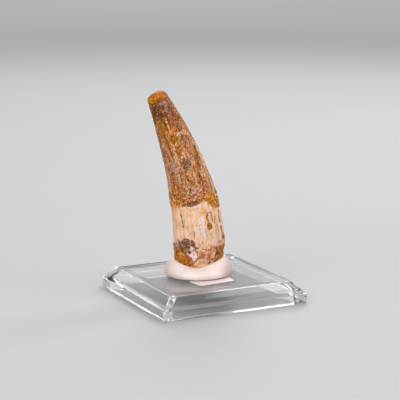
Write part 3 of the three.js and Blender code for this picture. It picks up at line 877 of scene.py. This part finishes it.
class Shader:
    # A Principled material and short calls that add nodes to it

    def __init__(self, name):
        self.material = bpy.data.materials.new(name)
        self.material.use_nodes = True
        self.tree = self.material.node_tree
        self.surface = self.tree.nodes["Principled BSDF"]

    def link(self, value, socket):
        if isinstance(value, bpy.types.NodeSocket):
            self.tree.links.new(value, socket)
        else:
            socket.default_value = value

    def add(self, kind, settings=(), **inputs):
        made = self.tree.nodes.new("ShaderNode" + kind)
        for key, value in dict(settings).items():
            setattr(made, key, value)
        for key, value in inputs.items():
            self.link(value, made.inputs[key.replace("_", " ")])
        return made

    def set(self, **inputs):
        for key, value in inputs.items():
            self.link(value, self.surface.inputs[key.replace("_", " ")])

    def attribute(self, name, vector=False):
        made = self.add("Attribute", {"attribute_name": name})
        return made.outputs["Vector" if vector else "Fac"]

    def noise(self, vector, scale, detail=3.0, roughness=0.55, distortion=0.0):
        made = self.add(
            "TexNoise", Vector=vector, Scale=scale, Detail=detail,
            Roughness=roughness, Distortion=distortion,
        )
        return made.outputs["Fac"]

    def stretch(self, vector, x, y, z):
        return self.add("Mapping", Vector=vector, Scale=(x, y, z)).outputs["Vector"]

    def span(self, value, low, high, to_low=0.0, to_high=1.0):
        made = self.add("MapRange", {"interpolation_type": "SMOOTHSTEP"}, Value=value)
        limits = {"From Min": low, "From Max": high, "To Min": to_low, "To Max": to_high}
        for key, number in limits.items():
            self.link(number, made.inputs[key])
        return made.outputs["Result"]

    def math(self, operation, a, b=0.0):
        made = self.add("Math", {"operation": operation})
        self.link(a, made.inputs[0])
        self.link(b, made.inputs[1])
        return made.outputs[0]

    def plus(self, a, b):
        return self.math("ADD", a, b)

    def times(self, a, b):
        return self.math("MULTIPLY", a, b)

    def mix(self, factor, a, b):
        # The mix node's colours are its inputs 6 and 7 and its output 2
        made = self.add("Mix", {"data_type": "RGBA"})
        self.link(factor, made.inputs["Factor"])
        self.link(a, made.inputs[6])
        self.link(b, made.inputs[7])
        return made.outputs[2]

    def ramp(self, value, stops):
        made = self.add("ValToRGB", Fac=value)
        elements = made.color_ramp.elements
        while len(elements) < len(stops):
            elements.new(0.5)
        for element, (position, colour) in zip(elements, stops):
            element.position = position
            element.color = colour
        return made.outputs["Color"]

    def bump(self, height, strength, distance, normal=None):
        made = self.add("Bump", Height=height, Strength=strength, Distance=distance)
        if normal is not None:
            self.link(normal, made.inputs["Normal"])
        return made.outputs["Normal"]


# The crown's own colours, from dark to pale
CROWN_RAMP = [
    (0.36, linear(86, 46, 18)), (0.44, linear(138, 82, 36)), (0.51, linear(172, 108, 54)),
    (0.57, linear(196, 136, 88)), (0.66, linear(216, 170, 134)),
]
ROSY = linear(192, 140, 116)
BAND_FLECK = linear(242, 190, 162)
PALE_SPECK = linear(240, 200, 172)
DARK_SPECK = linear(70, 34, 12)
VEIN = linear(128, 90, 68)
HOLLOW = linear(74, 40, 18)
# Heights over which the crown passes into its darker upper end
UPPER = (50, 60)


def crown_colour(look, place, height, grains):
    # Streaks, clouds, stripes and grains through one ramp, under a rosy film
    streaks = look.noise(look.stretch(place, 1, 1, 0.16), 1.0, detail=4, roughness=0.65)
    clouds = look.noise(place, 0.3, roughness=0.6, distortion=0.4)
    body = look.plus(look.times(streaks, 0.3), look.times(clouds, 0.25))
    body = look.plus(body, look.times(look.attribute("stripe"), 0.3))
    body = look.plus(body, look.times(grains, 0.15))
    body = look.plus(body, look.attribute("lift"))
    film = look.noise(look.stretch(place, 1, 1, 0.4), 0.8, roughness=0.6)
    film = look.times(look.span(film, 0.45, 0.59, 0, 0.8), look.span(height, *UPPER, 1, 0.25))
    return look.mix(film, look.ramp(body, CROWN_RAMP), ROSY)


def patch_colours(look, place, colour, grains):
    # The tones of the patches, laid over one another
    jitter = look.span(grains, 0.2, 0.8, -0.42, 0.42)
    upright = look.stretch(place, 1, 1, 0.3)
    for kind, (dark, light, fineness) in TONES.items():
        pattern = look.noise(upright if kind in UPRIGHT else place, fineness, roughness=0.65)
        tone = look.mix(look.span(pattern, 0.36, 0.64), linear(*dark), linear(*light))
        low, high = (0.22, 0.9) if kind in SOFT else (0.42, 0.62)
        cover = look.span(look.plus(look.attribute(kind), jitter), low, high)
        colour = look.mix(cover, colour, tone)
    return colour


def speck_colours(look, place, height, crown, colour):
    # Flecks of the rough band, then pale and dark specks, fewer where the surface is calm
    flecks = look.span(look.noise(place, 1.0, roughness=0.75), 0.54, 0.6)
    colour = look.mix(look.times(flecks, look.attribute("band")), colour, BAND_FLECK)
    squat = look.stretch(place, 1, 1, 0.8)
    plain = look.span(look.attribute("calm"), 0, 1, 1, 0.12)
    pale = look.span(look.noise(squat, 1.35, detail=2, roughness=0.8), 0.55, 0.62)
    pale = look.times(look.times(pale, plain), look.span(height, *UPPER, 0.72, 0.5))
    dark = look.span(look.noise(squat, 1.5, detail=2, roughness=0.8), 0.46, 0.39)
    dark = look.times(look.times(dark, plain), look.span(crown, 0, 1, 0.1, 0.85))
    return look.mix(dark, look.mix(pale, colour, PALE_SPECK), DARK_SPECK)


def hollow_colours(look, place, crown, colour):
    # The root's thin veins, then a darker colour in everything that lies deep
    vein = look.noise(look.stretch(place, 1, 1, 0.07), 0.75, detail=4, roughness=0.6)
    vein = look.math("ABSOLUTE", look.math("SUBTRACT", vein, 0.5))
    here = look.span(look.noise(place, 0.35, detail=2), 0.42, 0.56)
    vein = look.times(look.span(vein, 0.004, 0.02, 0.5, 0), here)
    colour = look.mix(look.times(vein, look.span(crown, 0, 1, 1, 0)), colour, VEIN)
    return look.mix(look.times(look.attribute("hollow"), 0.65), colour, HOLLOW)


def fossil_material():
    look = Shader("fossil")
    place = look.attribute("straight", vector=True)
    height = look.add("SeparateXYZ", Vector=place).outputs["Z"]
    crown = look.attribute("crown")
    grains = look.noise(look.stretch(place, 1, 1, 0.6), 1.5, detail=4, roughness=0.7)
    colour = crown_colour(look, place, height, grains)
    colour = patch_colours(look, place, colour, grains)
    colour = speck_colours(look, place, height, crown, colour)
    colour = hollow_colours(look, place, crown, colour)
    rich = look.add("HueSaturation", Saturation=1.16, Color=colour)
    fine = look.noise(place, 5.5, detail=4, roughness=0.7)
    streaks = look.noise(look.stretch(place, 1, 1, 0.1), 3.2, roughness=0.6)
    normal = look.bump(streaks, 0.3, 0.00015, look.bump(fine, 0.35, 0.00012))
    rough = look.span(look.noise(place, 1.4, roughness=0.6), 0.3, 0.7, 0.38, 0.62)
    look.set(Base_Color=rich.outputs["Color"], Roughness=rough, Normal=normal)
    look.set(Specular_IOR_Level=0.22)
    return look.material


def putty_material():
    look = Shader("putty")
    place = look.add("TexCoord").outputs["Object"]
    clouds = look.noise(place, 160, roughness=0.5)
    smudge = look.span(look.noise(place, 420, detail=4, roughness=0.6, distortion=0.5), 0.62, 0.8)
    colour = look.mix(look.span(clouds, 0.3, 0.7), linear(231, 211, 204), linear(241, 227, 221))
    colour = look.mix(look.times(smudge, 0.2), colour, linear(204, 178, 166))
    # Painted shade on the lump's sides
    colour = look.mix(look.attribute("flank_shade"), colour, linear(204, 178, 164))
    colour = look.mix(look.times(look.attribute("flap"), 0.6), colour, linear(220, 196, 200))
    # Painted shade along the lump's foot, where it meets the plate and the flap
    colour = look.mix(look.times(look.attribute("painted_crevice_shade"), 0.8), colour, linear(112, 88, 80))
    normal = look.bump(look.noise(place, 900, detail=4, roughness=0.6), 0.18, 0.0002)
    rough = look.span(clouds, 0.3, 0.7, 0.5, 0.66)
    look.set(Base_Color=colour, Roughness=rough, Normal=normal, Subsurface_Weight=0.12)
    look.set(Subsurface_Radius=(0.0016, 0.0011, 0.0008), Subsurface_Scale=1.0)
    return look.material


def clear_material():
    look = Shader("clear_plastic")
    place = look.add("TexCoord").outputs["Object"]
    hairs = look.noise(look.stretch(place, 1, 0.06, 1), 1400, detail=2, roughness=0.5)
    rough = look.span(hairs, 0.55, 0.8, 0.004, 0.04)
    normal = look.bump(look.noise(place, 90, detail=2, roughness=0.4), 0.02, 0.0003)
    look.set(Base_Color=(1, 1, 1, 1), Roughness=rough, Normal=normal)
    look.set(Transmission_Weight=1.0, IOR=1.49)
    return look.material


def floor_material():
    look = Shader("pale_floor")
    place = look.add("TexCoord").outputs["Object"]
    clouds = look.noise(place, 3, roughness=0.5)
    tint = look.mix(clouds, linear(170, 170, 171), linear(177, 176, 176))
    look.set(Base_Color=tint, Roughness=0.6)
    return look.material


def light(name, at, size, power, colour=(1, 1, 1), aim=LAMP_AIM):
    lamp = bpy.data.lights.new(name, "AREA")
    lamp.shape = "RECTANGLE"
    lamp.size, lamp.size_y = size
    lamp.energy = power
    lamp.color = colour
    holder = add_object(name, lamp)
    holder.location = at
    holder.rotation_euler = (Vector(aim) - Vector(at)).to_track_quat("-Z", "Y").to_euler()


def make_stage():
    points = [(x * FLOOR_HALF, y * FLOOR_HALF, 0) for x, y in CORNERS]
    floor = new_piece("floor", points, [(0, 1, 2, 3)])
    floor.location.z = -FLOOR_DROP
    floor.data.materials.append(floor_material())
    world = bpy.data.worlds.new("studio")
    bpy.context.scene.world = world
    world.use_nodes = True
    background = world.node_tree.nodes["Background"]
    background.inputs["Color"].default_value = SKY_COLOUR
    background.inputs["Strength"].default_value = SKY_STRENGTH
    light("key", (-0.75, -0.45, 0.55), (0.6, 0.6), power=6.2, colour=(1.0, 0.98, 0.96))
    light("fill", (0.5, -0.6, 0.6), (0.7, 0.5), power=2.9)
    light("back", (0.35, 0.8, 0.7), (0.7, 0.5), power=3.4)
    light("edge", (0.75, 0.2, 0.6), (0.25, 0.6), power=3.0)
    light("far", (1.4, 2.9, 1.8), (3.0, 3.0), power=34.0, aim=FAR_FLOOR)


def make_camera():
    data = bpy.data.cameras.new("camera")
    data.lens = LENS
    data.sensor_width = SENSOR
    data.sensor_fit = "HORIZONTAL"
    data.clip_start = 0.01
    holder = add_object("camera", data)
    holder.matrix_world = camera_place()
    bpy.context.scene.camera = holder


make_camera()
make_stage()

tooth = make_tooth()
tooth.data.materials.append(fossil_material())
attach(tooth, "root")
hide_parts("tooth")

putty = make_putty()
putty.data.materials.append(putty_material())
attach(putty, "root")
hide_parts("putty")

stand = make_stand()
stand.data.materials.append(clear_material())
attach(stand, "root")
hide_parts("stand")

bpy.context.scene.view_settings.view_transform = "Standard"
bounces = bpy.context.scene.cycles
bounces.max_bounces = CLEAR_BOUNCES
bounces.transmission_bounces = CLEAR_BOUNCES
bounces.glossy_bounces = GLOSSY_BOUNCES
